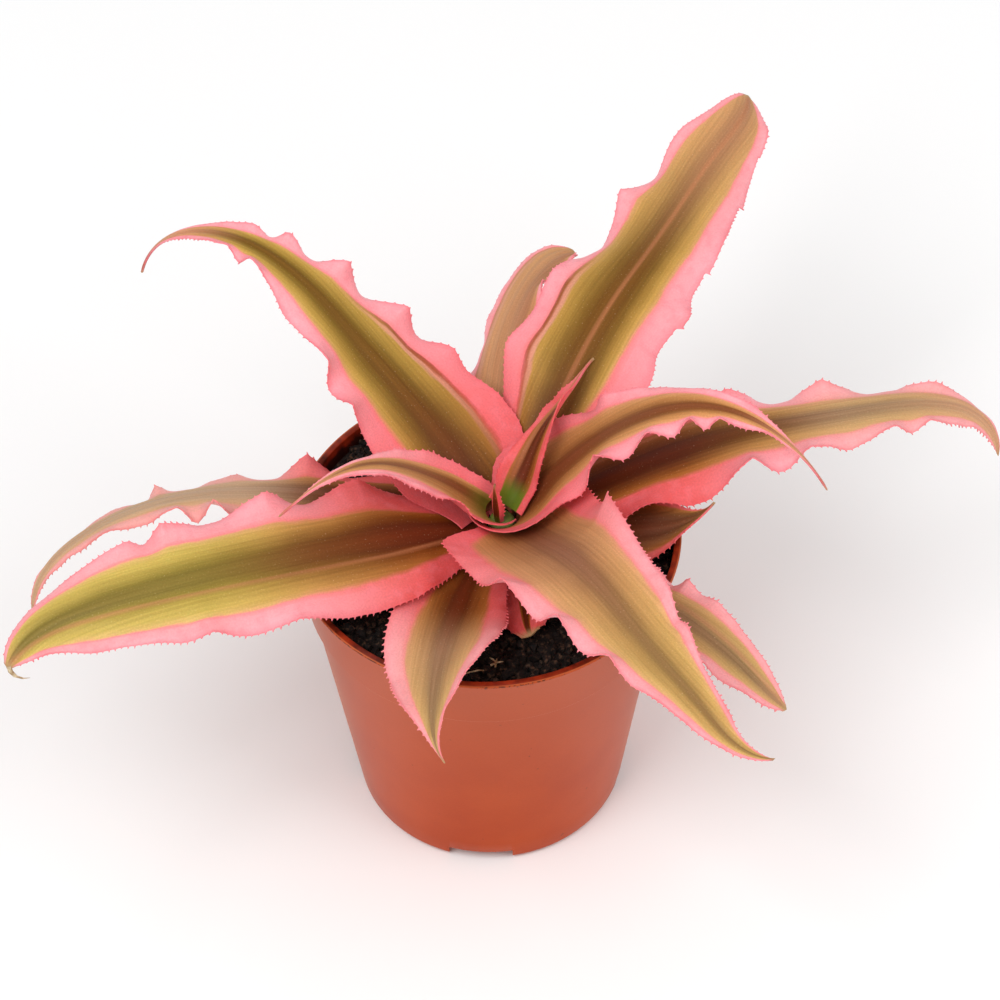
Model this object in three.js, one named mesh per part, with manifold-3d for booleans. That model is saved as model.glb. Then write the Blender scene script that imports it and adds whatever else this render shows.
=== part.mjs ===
// An earth star bromeliad (a pink Cryptanthus) that grows in a plain nursery pot.
//
// Frame: millimetres, +Z up. The origin is the centre of the pot's underside, where it stands.
// +X is the plant's right and +Y its back.
import * as THREE from 'three';
import { mergeVertices } from 'three/addons/utils/BufferGeometryUtils.js';
import Module from 'manifold-3d';

const wasm = await Module();
wasm.setup();

// ---------------------------------------------------------------- driving dimensions

// The pot: a thin tapered cup with a wider rim band.
const rimRadius = 60;
const potHeight = 112;
const wall = 1.3;
const footRadius = 41.3;
const wallTaper = 0.15; // growth of the radius for each millimetre of height
const footRounding = 2.5;
const bandBottom = 89;
const bandBottomRadius = 56;
const bandTopRadius = 59.2;
const bandStep = 0.8; // the height over which the wall steps out to the band
const lipHeight = 0.8;
const roundSegments = 48;

// Four drain grooves run in under the pot, each to a hole, and notch its foot.
const grooveCount = 4;
const grooveTurn = -0.1; // radians, from the axes
const grooveWidth = 20;
const grooveHeight = 5;
const grooveInnerEnd = 21;
const drainHoleRadius = 3.5;
const drainHolePlace = 29;
const pastSurface = 10; // how far a cutting block runs past what it cuts

// The peat and the stem.
const clearance = 0.3; // between pieces that touch
const peatLevel = 104;
const peatMound = 0.4;
const peatCrumb = 0.5;
const crumbWaves = [new THREE.Vector2(0.9, 1.3), new THREE.Vector2(-0.7, 1.1)]; // radians for each millimetre
const stemCentre = new THREE.Vector2(5, 6);
const stemRadius = 4.2;
const stemBottom = 88;
const stemTop = 112.3;
const stemDome = 2.2;
const stemSegments = 16;

// The leaves. The younger ones start higher and steeper, and the bases of two wrap round the stem.
const leafThickness = 0.9;
const levels = [ // radius from the stem's axis, pitch in degrees, root: how far it runs on down inside
  { radius: 5.2, height: 105.7, pitch: 14, root: 0, wraps: false },
  { radius: 5.2, height: 107, pitch: 20, root: 0, wraps: false },
  { radius: 5.2, height: 108.5, pitch: 26, root: 0, wraps: false },
  { radius: 5.2, height: 109.9, pitch: 30, root: 0, wraps: false },
  { radius: 5.2, height: 111.4, pitch: 36, root: 0, wraps: false },
  { radius: 5.2, height: 113.5, pitch: 46, root: 0, wraps: true },
  { radius: 5.2, height: 115.2, pitch: 48, root: 0, wraps: true },
  { radius: 4.4, height: 118.5, pitch: 40, root: 3.3, wraps: false },
  { radius: 2.7, height: 114, pitch: 82, root: 1.2, wraps: false },
];
const wrapLength = 24; // how far out a blade still curves round the stem
const flare = 0.8; // how much a wrapped base rises as it opens
const claspLength = 30; // how far out the sides of a blade still rise round the stem
const claspFade = 1.5;
const calmShare = 0.3; // the share of the length over which the waves grow to their full height
const hookShare = 0.82; // where the tip's hook begins
const waveRise = 4; // how sharply the waves rise towards a margin
const waveSharpness = 0.5; // 0 for round crests, 1 for creases
const leanReach = 15; // millimetres of wave that would lean a crest out by the half width
const spineLength = 1;
const firstSpines = 0.12; // the share of the length over which the spines grow to their full length

// How finely a blade is laid out: rows across it, whose margins are at -1 and 1, and stations along it.
const plainLayout = {
  rows: [-0.72, -0.36, 0, 0.36, 0.72],
  stationLength: 8.25,
  pointsPerStation: 4,
  crowding: 1, // above 1, the stations crowd towards the base
};
const wrappedLayout = {
  rows: [-0.86, -0.72, -0.54, -0.36, -0.18, 0, 0.18, 0.36, 0.54, 0.72, 0.86],
  stationLength: 4.1,
  pointsPerStation: 2,
  crowding: 1.6,
};

// heading: the direction in which a leaf starts, in degrees from +X towards +Y
// swing: how far it turns sideways to its tip; hook: a further turn near the tip
// pitch: its slope at a quarter, a half, three quarters and all of its length
// roll: its tilt about its midrib, at four even places; channel: how far its margins stand up
// base: its width at the stem, as a share of the width; widest: where it is widest
// taper: how slim it runs out; lean: how far the crests of its margins' waves lean out
// left, right: those crests, each as its share of the length and its height
// sheath: how much wider the right and left sides of a wrapped base are; spread: how far it opens
const leaves = {
  leaf_left_low: {
    level: 0, heading: 166, swing: 48, hook: 53, length: 158, width: 31,
    pitch: [11, 12, -12, -53], roll: [-3, 11, 33, 23], channel: -0.13,
    base: 0.42, widest: 0.12, taper: 1, lean: 0.4,
    left: [[0.3, 2.4], [0.42, 3], [0.56, 4.8], [0.63, 2.4], [0.78, 0.9]],
    right: [[0.15, 2.7], [0.35, 4.8], [0.5, 0.5], [0.64, 3], [0.72, 0.3], [1, 4.4]],
  },
  leaf_front_right_low: {
    level: 0, heading: 312.3, swing: 7.2, hook: 18, length: 117, width: 27,
    pitch: [20, 18, -12, -41], roll: [-12, -20, -8, -4], channel: 0.07,
    base: 0.21, widest: 0.42, taper: 0.7, lean: -0.2,
    left: [[0.2, 0], [0.34, 0.2], [0.43, 2.6], [0.56, 2.5], [0.67, 0.9], [0.9, 0.6]],
    right: [[0.3, 2.4], [0.45, 2.4], [0.61, 2.9], [0.77, 1.8], [0.91, 0.2]],
  },
  leaf_back_right_low: {
    level: 0, heading: 52, swing: -61, hook: 18, length: 102, width: 18,
    pitch: [11, -2, -18, -25], roll: [-6, -4, 25, 31], channel: 0.06,
    base: 0.3, widest: 0.24, taper: 0.7, lean: 0.3,
    left: [[-0.08, 1], [0.52, 2.5], [1.13, 2.5]],
    right: [[0.06, 2.4], [0.54, 3.4], [0.98, 4.3]],
  },
  leaf_back_short: {
    level: 1, heading: 102, swing: -52, hook: -28, length: 108, width: 24,
    pitch: [18, 16, 0, -32], roll: [-2, -34, -38, -1], channel: -0.13,
    base: 0.2, widest: 0.43, taper: 0.5, lean: -0.2,
    left: [[0.09, 2.4], [0.41, 4.8], [0.68, 0.4]],
    right: [[0.22, 2.2], [0.5, 2.4], [0.73, 3.6]],
  },
  leaf_front_short: {
    level: 1, heading: 245.2, swing: 26.4, hook: 33, length: 103, width: 37,
    pitch: [9, 16, 6, -18], roll: [1, 3, 26, 33], channel: 0.22,
    base: 0.44, widest: 0.53, taper: 1.8, lean: 0.2,
    left: [[-0.1, 2.6], [0.99, 2.8]],
    right: [[0.34, 0.2], [0.8, 3.6]],
  },
  leaf_right_lowest: {
    level: 1, heading: 346.5, swing: 7, hook: 13, length: 67, width: 22,
    pitch: [12, 9, 28, 60], roll: [4, 4, 14, 8], channel: 0.03,
    base: 0.2, widest: 0.53, taper: 1.9, lean: -0.1,
    left: [[0.24, 2.4], [0.76, 3.1]],
    right: [[0.32, 0.8], [0.86, 2.3]],
  },
  leaf_right_long: {
    level: 2, heading: 12, swing: -1, hook: -85, length: 169, width: 39,
    pitch: [19, 0, -8, -74], roll: [-15, -8, -13, 13], channel: -0.06,
    base: 0.49, widest: 0.18, taper: 1, lean: -0.1,
    left: [[0.22, 0.8], [0.44, 4.8], [0.61, 4.8], [0.82, 3.4]],
    right: [[0.23, 4.8], [0.44, 4.8], [0.55, 2.5], [0.71, 2.1], [0.78, 2.1], [0.94, 0.3]],
  },
  leaf_back_right_long: {
    level: 3, heading: 61.2, swing: -3.6, hook: 34, length: 173.5, width: 43.6,
    pitch: [25, -1, 8, -21], roll: [-10, 12, -10, 43], channel: -0.14,
    base: 0.34, widest: 0.3, taper: 0.6, lean: 0.4,
    left: [[0.03, 2.2], [0.27, 2.7], [0.44, 1.6], [0.67, 4.8], [0.83, 1.3]],
    right: [[0.32, 1], [0.46, 4.8], [0.64, 3.4], [0.93, 3.3]],
  },
  leaf_left_broad: {
    level: 3, heading: 208, swing: -17, hook: 47, length: 164, width: 45,
    pitch: [15, 7, -6, -33], roll: [-5, -9, -15, -20], channel: -0.1,
    base: 0.43, widest: 0.26, taper: 0.7, lean: 0.1,
    left: [[0.19, 2], [0.45, 4.8], [0.61, 4.4], [0.72, 0.2], [0.92, 4.3]],
    right: [[0.23, 4.8], [0.43, 4.8], [0.64, 4.8], [0.71, 2.6], [1.1, 4.4]],
  },
  leaf_back_left_long: {
    level: 4, heading: 128.6, swing: 28.7, hook: 20, length: 167, width: 47,
    pitch: [27, 34, -19, -80], roll: [-3, 6, 7, -16], channel: 0.09,
    base: 0.6, widest: 0.12, taper: 2.1, lean: 0.1,
    left: [[0.07, 2.6], [0.31, 4.5], [0.41, 4.7], [0.64, 3.9], [0.69, 3.5], [1, 3.1]],
    right: [[0.27, 3.5], [0.38, 4.6], [0.51, 4.7], [0.62, 3.9], [0.68, 2.8], [1.04, 2.4]],
  },
  leaf_front_right_broad: {
    level: 4, heading: 290.6, swing: 18.7, hook: 85, length: 153.7, width: 48,
    pitch: [35, 5, -1, -34], roll: [1, 7, -4, 16], channel: 0.24,
    base: 0.36, widest: 0.1, taper: 1.2, lean: 0,
    left: [[0.06, 2.5], [0.28, 4.8], [0.56, 2.6], [0.65, 2.3], [0.86, 2.4]],
    right: [[0.11, 4.8], [0.37, 4.8], [0.51, 4.8], [0.64, 3.8], [0.78, 0.9]],
  },
  leaf_right_arched: {
    level: 5, heading: 21.5, swing: -53.7, hook: -2, length: 122.6, width: 37.5,
    pitch: [43, 21, -28, -59], roll: [-13, -12, 8, -6], channel: 0.06,
    base: 0.52, widest: 0.1, taper: 2.3, lean: -0.2,
    left: [[0.19, 4.8], [0.33, 2.2], [0.71, 3.8]],
    right: [[0.1, 4.8], [0.32, 3.7], [0.46, 2], [0.57, 3.5], [0.64, 4.1], [0.79, 2.6]],
    sheath: [9, 0], spread: 1.5,
  },
  leaf_left_inner: {
    level: 6, heading: 180, swing: 42, hook: -13, length: 82, width: 22,
    pitch: [46, 33, 0, -28], roll: [0, 11, 7, 11], channel: 0.17,
    base: 0.88, widest: 0.22, taper: 2.4, lean: -0.3,
    left: [[0.19, 3.4], [0.6, 0.1]],
    right: [[0.3, 1.8], [0.92, 2.4]],
    sheath: [0, 3], spread: 0.2,
  },
  leaf_heart_young: {
    level: 7, heading: 48, swing: 19, hook: -25, length: 55, width: 13,
    pitch: [48, 8, -5, 10], roll: [28, -18, -50, -30], channel: 0.36,
    base: 0.87, widest: 0.1, taper: 1.6, lean: 0.2,
    left: [[-0.15, 2], [0.72, 1.7]],
    right: [[-0.1, 0.5], [0.56, 0.7]],
  },
  leaf_heart_smallest: {
    level: 8, heading: 238, swing: 0, hook: 0, length: 18, width: 4,
    pitch: [86, 88, 88, 86], roll: [0, 0, 0, 0], channel: 0.5,
    base: 0.8, widest: 0.3, taper: 1.4, lean: 0,
    left: [[0.3, 0.2], [0.7, 0.2]],
    right: [[0.4, 0.2], [0.8, 0.2]],
  },
};

// ---------------------------------------------------------------- solids

// A closed mesh as a solid that can be joined and cut.
function solidOf(geometry) {
  const positions = new THREE.BufferGeometry();
  positions.setAttribute('position', geometry.getAttribute('position').clone());
  positions.setIndex(geometry.index);
  const merged = mergeVertices(positions, 1e-4);
  const triVerts = new Uint32Array(merged.index.array);
  return new wasm.Manifold(new wasm.Mesh({
    numProp: 3,
    vertProperties: merged.attributes.position.array,
    triVerts,
  }));
}

function geometryOf(solid) {
  const mesh = solid.getMesh();
  const geometry = new THREE.BufferGeometry();
  geometry.setAttribute('position', new THREE.BufferAttribute(mesh.vertProperties, mesh.numProp));
  geometry.setIndex(new THREE.BufferAttribute(mesh.triVerts, 1));
  geometry.computeVertexNormals();
  return geometry;
}

// A turned solid from an outline of [radius, height] that starts and ends on the axis.
function turned(outline, segments = roundSegments) {
  const points = outline.map(([radius, height]) => new THREE.Vector2(radius, height));
  return new THREE.LatheGeometry(points, segments).rotateX(Math.PI / 2);
}

// ---------------------------------------------------------------- pot

const bodyRadius = (height) => footRadius + wallTaper * height;

// The outline of the pot's outside, from the centre of its foot up to its rim.
function potOutside() {
  const outline = [[0, 0]];
  const roundingSteps = 4;
  for (let i = 0; i <= roundingSteps; i++) {
    const angle = (i / roundingSteps) * Math.PI / 2;
    const height = footRounding * (1 - Math.cos(angle));
    outline.push([bodyRadius(height) - footRounding * (1 - Math.sin(angle)), height]);
  }
  outline.push([bodyRadius(bandBottom), bandBottom]);
  outline.push([bandBottomRadius, bandBottom + bandStep]);
  outline.push([bandTopRadius, potHeight - lipHeight]);
  outline.push([rimRadius, potHeight - lipHeight]);
  outline.push([rimRadius, potHeight]);
  outline.push([0, potHeight]);
  return outline;
}

// The outline of the pot's inside, drawn in by a gap for the peat that fills it.
function potInside(gap, top) {
  const inset = wall + gap;
  const floor = wall + gap;
  const bandInside = (height) => {
    const share = (height - bandBottom) / (potHeight - bandBottom);
    return bandBottomRadius + share * (bandTopRadius - bandBottomRadius) - inset;
  };
  return [
    [0, floor],
    [bodyRadius(floor) - inset - footRounding + wall, floor],
    [bodyRadius(footRounding + wall) - inset, footRounding + wall],
    [bodyRadius(bandBottom + wall) - inset, bandBottom + wall],
    [bandInside(bandBottom + 2 * wall), bandBottom + 2 * wall],
    [bandInside(top), top],
    [0, top],
  ];
}

// The drain grooves as blocks to cut with, wider and higher by the thickness of what lies over them.
function grooves(margin) {
  const length = footRadius + pastSurface - grooveInnerEnd + margin;
  const width = grooveWidth + 2 * margin;
  const height = 2 * (grooveHeight + margin);
  let blocks = null;
  for (let i = 0; i < grooveCount; i++) {
    const block = new THREE.BoxGeometry(length, width, height);
    block.translate(grooveInnerEnd - margin + length / 2, 0, 0);
    block.rotateZ(grooveTurn + (i / grooveCount) * 2 * Math.PI);
    blocks = blocks ? blocks.add(solidOf(block)) : solidOf(block);
  }
  return blocks;
}

function drainHoles() {
  const holeSegments = 12;
  let holes = null;
  for (let i = 0; i < grooveCount; i++) {
    const hole = new THREE.CylinderGeometry(drainHoleRadius, drainHoleRadius, 2 * pastSurface, holeSegments);
    hole.rotateX(Math.PI / 2);
    hole.translate(drainHolePlace, 0, 0);
    hole.rotateZ(grooveTurn + (i / grooveCount) * 2 * Math.PI);
    holes = holes ? holes.add(solidOf(hole)) : solidOf(hole);
  }
  return holes;
}

function makePot() {
  const inside = solidOf(turned(potInside(0, potHeight + pastSurface))).subtract(grooves(wall));
  return geometryOf(solidOf(turned(potOutside()))
    .subtract(inside)
    .subtract(grooves(0))
    .subtract(drainHoles()));
}

// ---------------------------------------------------------------- peat

// The peat fills the pot to its level, with a crumbly top and a plain hole that the stem stands in.
function makePeat() {
  const outline = potInside(clearance, peatLevel);
  const edge = outline.at(-2)[0];
  const surfaceRings = 9;
  outline.pop();
  for (let i = 1; i <= surfaceRings; i++) outline.push([edge * (1 - i / surfaceRings), peatLevel]);
  const body = turned(outline);
  const points = body.attributes.position;
  for (let i = 0; i < points.count; i++) {
    if (points.getZ(i) < peatLevel - 0.01) continue;
    const x = points.getX(i);
    const y = points.getY(i);
    const fromAxis = Math.hypot(x, y) / edge;
    const flatAtWall = Math.min(1, 6 * (1 - fromAxis));
    const [first, second] = crumbWaves.map((wave) => Math.sin(wave.x * x + wave.y * y));
    points.setZ(i, peatLevel + peatMound * (1 - fromAxis ** 2) + peatCrumb * flatAtWall * first * second);
  }
  const hole = turned([
    [0, stemBottom - clearance],
    [stemRadius + clearance, stemBottom - clearance],
    [stemRadius + clearance, potHeight],
    [0, potHeight],
  ], stemSegments);
  hole.translate(stemCentre.x, stemCentre.y, 0);
  return geometryOf(solidOf(body).subtract(grooves(wall + clearance)).subtract(solidOf(hole)));
}

// ---------------------------------------------------------------- stem

function makeStem() {
  const stem = turned([
    [0, stemBottom],
    [stemRadius, stemBottom],
    [stemRadius, stemTop - stemDome],
    [stemRadius * 0.7, stemTop - stemDome * 0.3],
    [0, stemTop],
  ], stemSegments);
  return stem.translate(stemCentre.x, stemCentre.y, 0);
}

// ---------------------------------------------------------------- leaves

const radians = THREE.MathUtils.degToRad;
const clamp = THREE.MathUtils.clamp;

// A smooth curve through values that are evenly spaced along the leaf, read at a share of its length.
function along(values, share) {
  const last = values.length - 1;
  const place = Math.min(share * last, last - 1e-9);
  const i = Math.floor(place);
  const t = place - i;
  const slope = (k) => {
    const before = Math.max(k - 1, 0);
    const after = Math.min(k + 1, last);
    return (values[after] - values[before]) / (after - before);
  };
  return values[i] * (2 * t ** 3 - 3 * t ** 2 + 1) + slope(i) * (t ** 3 - 2 * t ** 2 + t)
    + values[i + 1] * (3 * t ** 2 - 2 * t ** 3) + slope(i + 1) * (t ** 3 - t ** 2);
}

// 0 before the start, 1 after the end, and a smooth rise between them.
function rising(value, start, end) {
  const t = clamp((value - start) / (end - start), 0, 1);
  return t * t * (3 - 2 * t);
}

// The height of a margin's waves, which have narrower crests than troughs.
function waveAt(crests, share) {
  const last = crests.length - 1;
  let i = 0;
  while (i < last - 1 && share > crests[i + 1][0]) i++;
  const [place, height] = crests[i];
  const [nextPlace, nextHeight] = crests[i + 1];
  const t = (share - place) / (nextPlace - place);
  const round = Math.cos(2 * Math.PI * t);
  const crease = 1 - 2 * Math.abs(Math.sin(Math.PI * t));
  const tallness = height + clamp(t, 0, 1) * (nextHeight - height);
  return tallness * (round + waveSharpness * (crease - round));
}

// Half the blade's width at a share of its length.
function halfWidth(leaf, share) {
  const rise = clamp(share / leaf.widest, 0, 1);
  const fall = clamp((share - leaf.widest) / (1 - leaf.widest), 0, 1);
  const profile = share < leaf.widest
    ? leaf.base + (1 - leaf.base) * rise * rise * (3 - 2 * rise)
    : (1 - fall) ** leaf.taper * (1 + leaf.taper * fall);
  return leaf.width / 2 * profile;
}

// The midrib: its points, with the blade's own side and up directions at each.
function midrib(leaf, steps, crowding) {
  const level = levels[leaf.level];
  const rootShare = level.root / leaf.length;
  const pitch = [level.pitch, ...leaf.pitch];
  const start = radians(leaf.heading);
  const point = new THREE.Vector3(
    stemCentre.x + level.radius * Math.cos(start),
    stemCentre.y + level.radius * Math.sin(start),
    level.height,
  );
  const frames = [];
  let before = null;
  for (let i = 0; i <= steps; i++) {
    const share = -rootShare + (1 + rootShare) * (i / steps) ** crowding;
    const grown = Math.max(share, 0);
    const hook = leaf.hook * clamp((grown - hookShare) / (1 - hookShare), 0, 1) ** 2;
    const heading = radians(leaf.heading + leaf.swing * grown + hook);
    const slope = radians(along(pitch, grown));
    const roll = radians(along(leaf.roll, grown));
    const ahead = new THREE.Vector3(
      Math.cos(heading) * Math.cos(slope),
      Math.sin(heading) * Math.cos(slope),
      Math.sin(slope),
    );
    if (i === 0) point.addScaledVector(ahead, -level.root);
    else point.addScaledVector(before.add(ahead), leaf.length * (share - frames.at(-1).share) / 2);
    const levelSide = new THREE.Vector3(-Math.sin(heading), Math.cos(heading), 0);
    frames.push({
      share,
      point: point.clone(),
      side: levelSide.clone().applyAxisAngle(ahead, roll),
      up: new THREE.Vector3().crossVectors(ahead, levelSide).applyAxisAngle(ahead, roll),
    });
    before = ahead;
  }
  return frames;
}

// A point on the blade's middle layer, with the direction of its thickness. across is 0 on the
// midrib, -1 and 1 on the margins.
function bladePoint(leaf, frame, across, spine) {
  const { share, point, side, up } = frame;
  const level = levels[leaf.level];
  const half = halfWidth(leaf, share);
  const out = Math.max(share, 0) * leaf.length;
  const calm = clamp(share / calmShare, 0, 1) ** 2 * Math.min(1, half / (leaf.width / 4));
  const wave = across === 0 ? 0 : calm * waveAt(across > 0 ? leaf.left : leaf.right, share);
  const begin = radians(level.pitch);
  const outward = level.radius + out * Math.cos(begin);
  const fade = clamp(1 - out / claspLength, 0, 1) ** claspFade;
  const clasp = (Math.hypot(outward, half * across) - outward) * Math.sin(begin) * fade;
  const wrap = level.wraps ? 1 - rising(out, 0, wrapLength) : 0;
  const [rightSheath, leftSheath] = leaf.sheath ?? [0, 0];
  const sheath = (across > 0 ? leftSheath : rightSheath) * across * wrap * wrap;
  const lean = leaf.lean * wave / leanReach * across * across;
  const sideways = half * across * (1 + lean) + sheath + Math.sign(across) * spine;
  const upward = leaf.channel * half * across * across + wave * Math.abs(across) ** waveRise + clasp;
  const flat = point.clone().addScaledVector(side, sideways).addScaledVector(up, upward);
  if (wrap === 0) return { at: flat, up };

  // A wrapped base lies on circles round the stem, and opens a little as it goes round.
  const toPoint = new THREE.Vector2(point.x, point.y).sub(stemCentre);
  const distance = toPoint.length();
  const turn = sideways / distance;
  const opening = leaf.spread * Math.abs(turn);
  const bearing = toPoint.angle() + turn;
  const wrapped = new THREE.Vector3(
    stemCentre.x + (distance + opening) * Math.cos(bearing),
    stemCentre.y + (distance + opening) * Math.sin(bearing),
    point.z + flare * opening,
  );
  const upright = new THREE.Vector3(0, 0, 1);
  return { at: flat.lerp(wrapped, wrap), up: up.clone().applyAxisAngle(upright, wrap * turn) };
}

// The blade is one sheet of points, laid out alike on its upper and its lower face.
function makeLeaf(leaf) {
  const layout = levels[leaf.level].wraps ? wrappedLayout : plainLayout;
  const { pointsPerStation } = layout; // on a margin, every second one a spine's tip
  const stations = Math.max(4, Math.round(leaf.length / layout.stationLength));
  const frames = midrib(leaf, stations * pointsPerStation, layout.crowding);
  const points = [];
  const faces = [];
  const addPoint = (frame, across, spine) => {
    points.push(bladePoint(leaf, frame, across, spine));
    return points.length - 1;
  };
  const tip = () => points.length - 1;
  const addFace = (a, b, c) => {
    if (a !== b && b !== c && c !== a) faces.push([a, b, c]);
  };

  // The rows between the margins have a point at each station, and the margins have more.
  const rows = layout.rows.map((across) => {
    const row = [];
    for (let i = 0; i < stations; i++) row.push(addPoint(frames[i * pointsPerStation], across, 0));
    return row;
  });
  const margins = [-1, 1].map((across) => {
    const margin = [];
    for (let i = 0; i < frames.length - 1; i++) {
      const spine = i % 2 ? spineLength * clamp(frames[i].share / firstSpines, 0, 1) : 0;
      margin.push(addPoint(frames[i], across, spine));
    }
    return margin;
  });
  addPoint(frames.at(-1), 0, 0);
  for (const row of [...rows, ...margins]) row.push(tip());

  for (let k = 0; k < rows.length - 1; k++) {
    for (let i = 0; i < stations; i++) {
      addFace(rows[k][i], rows[k][i + 1], rows[k + 1][i + 1]);
      addFace(rows[k][i], rows[k + 1][i + 1], rows[k + 1][i]);
    }
  }
  margins.forEach((margin, which) => {
    const row = which === 0 ? rows[0] : rows.at(-1);
    const turn = which === 0 ? (a, b, c) => addFace(a, b, c) : (a, b, c) => addFace(a, c, b);
    for (let i = 0; i < stations; i++) {
      const first = i * pointsPerStation;
      const middle = first + pointsPerStation / 2;
      for (let j = first; j < first + pointsPerStation; j++) {
        turn(margin[j], margin[j + 1], j < middle ? row[i] : row[i + 1]);
      }
      turn(margin[middle], row[i + 1], row[i]);
    }
  });

  // The outline runs out along the right margin, back along the left one and across the base.
  const base = rows.map((row) => row[0]);
  const outline = [...margins[0], ...margins[1].slice(0, -1).reverse(), ...base.reverse()];
  const positions = [];
  for (const offset of [leafThickness / 2, -leafThickness / 2]) {
    for (const { at, up } of points) positions.push(...at.clone().addScaledVector(up, offset).toArray());
  }
  const under = points.length;
  const index = [];
  for (const [a, b, c] of faces) index.push(a, b, c, under + a, under + c, under + b);
  outline.forEach((a, i) => {
    const b = outline[(i + 1) % outline.length];
    index.push(a, under + b, b, a, under + a, under + b);
  });
  const geometry = new THREE.BufferGeometry();
  geometry.setAttribute('position', new THREE.Float32BufferAttribute(positions, 3));
  geometry.setIndex(index);
  geometry.computeVertexNormals();
  return geometry;
}

// ---------------------------------------------------------------- assembly

const plastic = new THREE.MeshStandardMaterial({ color: 0xb5583a, roughness: 0.45, metalness: 0 });
const peat = new THREE.MeshStandardMaterial({ color: 0x1c1410, roughness: 1, metalness: 0 });
const stemGreen = new THREE.MeshStandardMaterial({ color: 0x6f7a35, roughness: 0.7, metalness: 0 });
const bladePink = new THREE.MeshStandardMaterial({ color: 0xf08a8c, roughness: 0.55, metalness: 0 });

const plant = new THREE.Group();

function add(name, geometry, material) {
  const mesh = new THREE.Mesh(geometry, material);
  mesh.name = name;
  plant.add(mesh);
}

add('pot', makePot(), plastic);
add('peat', makePeat(), peat);
add('stem', makeStem(), stemGreen);
for (const [name, leaf] of Object.entries(leaves)) add(name, makeLeaf(leaf), bladePink.clone());

export default plant;
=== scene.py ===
# An earth star bromeliad in a plain nursery pot, dressed over its CAD model.
# Metres, in the CAD frame: the origin is the centre of the pot's underside, +Z up, +Y to the back.
import math

import bpy
import numpy as np
from mathutils import Euler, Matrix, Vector, noise


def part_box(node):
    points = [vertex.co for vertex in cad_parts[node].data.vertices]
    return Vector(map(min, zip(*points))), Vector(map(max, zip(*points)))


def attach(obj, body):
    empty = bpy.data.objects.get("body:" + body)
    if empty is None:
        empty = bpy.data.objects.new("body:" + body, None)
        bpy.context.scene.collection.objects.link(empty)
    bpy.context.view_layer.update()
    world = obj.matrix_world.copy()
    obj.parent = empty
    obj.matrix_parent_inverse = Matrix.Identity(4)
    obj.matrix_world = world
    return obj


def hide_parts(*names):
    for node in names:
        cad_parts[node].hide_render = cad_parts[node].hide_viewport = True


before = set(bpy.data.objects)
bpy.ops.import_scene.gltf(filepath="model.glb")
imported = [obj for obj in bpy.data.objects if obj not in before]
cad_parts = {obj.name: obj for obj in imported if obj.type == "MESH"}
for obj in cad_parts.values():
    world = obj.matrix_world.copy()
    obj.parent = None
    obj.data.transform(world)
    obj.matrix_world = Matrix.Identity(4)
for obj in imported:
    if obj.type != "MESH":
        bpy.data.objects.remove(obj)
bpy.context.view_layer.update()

bpy.ops.object.select_all(action="DESELECT")
mm = 0.001

# ---------------------------------------------------------------- pot
# A thin-walled nursery pot of terracotta-coloured polypropylene. It is injection moulded in one
# shot, with a stiffening band and lip at the rim, and grooves under its floor that drain it.

_, pot_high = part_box("pot")
rim_radius = pot_high.x
pot_height = pot_high.z
wall = 1.3 * mm
foot_radius = 41.3 * mm
wall_taper = 0.15  # growth of the radius with height
foot_rounding = 2.5 * mm
foot_steps = 6  # of the rounding's arc
band_bottom = 89 * mm
band_bottom_radius = 56 * mm
band_top_radius = 59.2 * mm
band_step = 0.8 * mm
lip_height = 0.8 * mm
pot_sides = 192
groove_turn = -0.1
groove_width = 20 * mm
groove_height = 5 * mm
groove_inner_end = 21 * mm
groove_outer_end = 52 * mm
drain_hole_radius = 3.5 * mm
drain_hole_place = 29 * mm
edge_softness = 0.15 * mm


def drawn(name, path, radii, sides, facing=(0, 0, 0)):
    """A closed solid from a disc that is drawn along a path, with a radius at each of its points."""
    bpy.ops.mesh.primitive_circle_add(
        vertices=sides, radius=radii[0], fill_type="NGON", location=path[0], rotation=facing
    )
    solid = bpy.context.object
    solid.name = solid.data.name = name
    bpy.ops.object.mode_set(mode="EDIT")
    for here, there, radius, next_radius in zip(path, path[1:], radii, radii[1:]):
        step = Vector(there) - Vector(here)
        bpy.ops.mesh.extrude_region_move(TRANSFORM_OT_translate={"value": step})
        scale = next_radius / radius
        bpy.ops.transform.resize(value=(scale, scale, scale), center_override=there)
    bpy.ops.mesh.select_all(action="SELECT")
    bpy.ops.mesh.normals_make_consistent(inside=False)
    bpy.ops.object.mode_set(mode="OBJECT")
    bpy.ops.object.transform_apply()
    return solid


def turned(name, profile, sides):
    """A solid of revolution. profile is its radii and heights, from below."""
    radii, heights = zip(*profile)
    return drawn(name, [(0, 0, height) for height in heights], radii, sides)


def apply_modifier(piece, kind, **settings):
    """Adds a modifier to a piece and applies it."""
    bpy.context.view_layer.objects.active = piece
    modifier = piece.modifiers.new(kind.title(), kind)
    for name, value in settings.items():
        setattr(modifier, name, value)
    bpy.ops.object.modifier_apply(modifier=modifier.name)


def cut(piece, cutter):
    """Cuts one solid out of another and takes the cutter away."""
    apply_modifier(piece, "BOOLEAN", operation="DIFFERENCE", object=cutter, solver="EXACT")
    bpy.data.objects.remove(cutter)


def joined(parts):
    """Several new objects as one."""
    bpy.ops.object.select_all(action="DESELECT")
    for part in parts:
        part.select_set(True)
    bpy.context.view_layer.objects.active = parts[0]
    bpy.ops.object.join()
    bpy.ops.object.transform_apply()
    return parts[0]


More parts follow.
